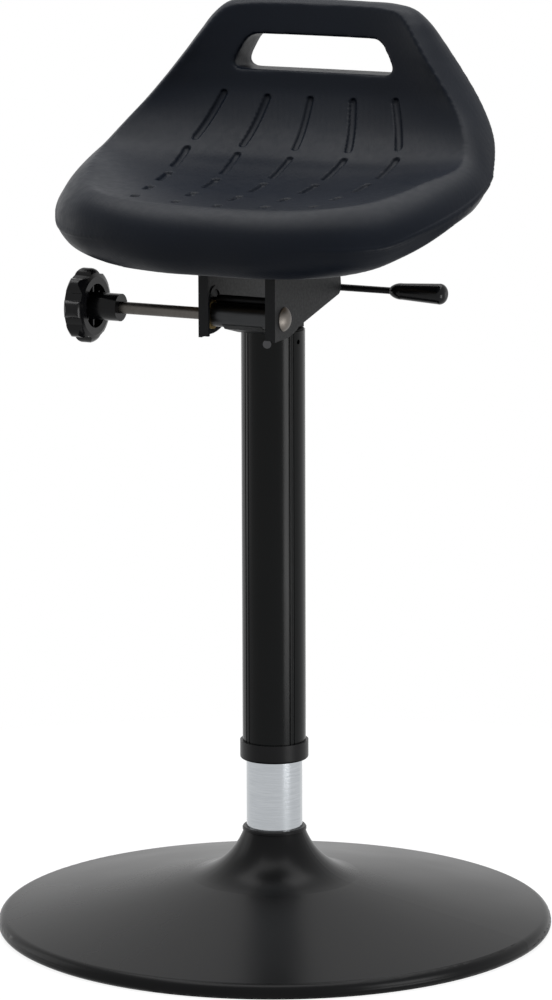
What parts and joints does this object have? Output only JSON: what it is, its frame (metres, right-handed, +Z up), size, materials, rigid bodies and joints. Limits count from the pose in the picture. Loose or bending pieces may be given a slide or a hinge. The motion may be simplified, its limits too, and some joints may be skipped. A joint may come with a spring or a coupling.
{
  "type": "perch stool",
  "caption": "Height-adjustable perch stool: weighted dish base, tube column, tilting tractor-style seat with a slotted hand grip, a clamp knob and a release lever.",
  "frame": {"origin": "centre of the round base on the floor", "axes": "+Z up along the column; the seat's front faces -Y, its hand grip +Y; the clamp knob is at -X and the release lever at +X"},
  "size_m": [0.4954, 0.4954, 0.817],
  "materials": {
    "base_black": "satin black powder coat",
    "cast_iron": "raw cast",
    "zinc_steel": "zinc plated",
    "yellow_zinc": "yellow passivated zinc",
    "chrome": "polished",
    "column_black": "black anodised, semi gloss",
    "plastic_black": "moulded, satin",
    "gloss_black": "moulded, glossy",
    "bracket_black": "black paint",
    "bare_steel": "bare, oiled",
    "seat_foam": "self-skinned polyurethane foam, fine grain",
    "rubber": "matt",
    "plywood": "raw"
  },
  "bodies": {
    "base": {"base_dish": "base_black", "ballast_plate": "cast_iron", "base_hub": "zinc_steel", "hub_screws": "zinc_steel", "floor_ring": "rubber", "neck_ring": "plastic_black", "lower_tube": "chrome", "tube_bush": "plastic_black", "lower_race": "zinc_steel"},
    "rod": {"piston_rod": "chrome", "piston": "plastic_black", "rod_clip": "zinc_steel", "upper_race": "zinc_steel", "bearing_cage": "zinc_steel"},
    "column": {"column_profile": "column_black", "column_screws": "zinc_steel", "column_collar": "plastic_black", "gas_cylinder": "base_black", "cylinder_gland": "zinc_steel", "column_head": "bracket_black", "pivot_barrel": "bracket_black", "lever_mount": "bracket_black"},
    "pin": {"release_pin": "zinc_steel"},
    "lever": {"release_rod": "bracket_black", "release_finger": "zinc_steel", "shaft_clip": "zinc_steel", "lever_grip": "gloss_black"},
    "seat": {"seat_pad": "seat_foam", "seat_board": "plywood", "board_inserts": "zinc_steel", "cheek_left": "bracket_black", "cheek_right": "bracket_black", "bracket_plate": "bracket_black", "bracket_screws": "zinc_steel", "washer_left": "yellow_zinc", "washer_right": "yellow_zinc", "stop_bar": "bracket_black", "pivot_bolt": "bare_steel"},
    "sleeve": {"clamp_sleeve": "bare_steel"},
    "knob": {"star_knob": "gloss_black", "knob_nut": "zinc_steel"}
  },
  "joints": [
    {"name": "column_swivel", "type": "hinge", "parent": "base", "child": "rod", "pos_m": [0, 0, 0.03], "axis": [0, 0, 1], "continuous": true},
    {"name": "height_slide", "type": "slide", "parent": "rod", "child": "column", "axis": [0, 0, 1], "range_m": [-0.055, 0.145]},
    {"name": "lever_lift", "type": "hinge", "parent": "column", "child": "lever", "pos_m": [0.018, 0, 0.569], "axis": [0, -1, 0], "range_deg": [0, 8], "stiffness_Nm_per_rad": 1.5, "springref_deg": -5.73},
    {"name": "pin_press", "type": "slide", "parent": "column", "child": "pin", "axis": [0, 0, 1], "range_m": [-0.0026, 0]},
    {"name": "seat_tilt", "type": "hinge", "parent": "column", "child": "seat", "pos_m": [0, -0.054, 0.5585], "axis": [1, 0, 0], "range_deg": [-4, 14]},
    {"name": "clamp_travel", "type": "slide", "parent": "seat", "child": "sleeve", "axis": [-1, 0, 0], "range_m": [0, 0.0026]},
    {"name": "knob_turn", "type": "hinge", "parent": "sleeve", "child": "knob", "pos_m": [-0.16, -0.054, 0.5585], "axis": [-1, 0, 0], "range_deg": [0, 720]}
  ],
  "couplings": [
    {"joint": "pin_press", "follows": "lever_lift", "m_per_rad": -0.018},
    {"joint": "clamp_travel", "follows": "knob_turn", "m_per_rad": 0.00019894}
  ]
}
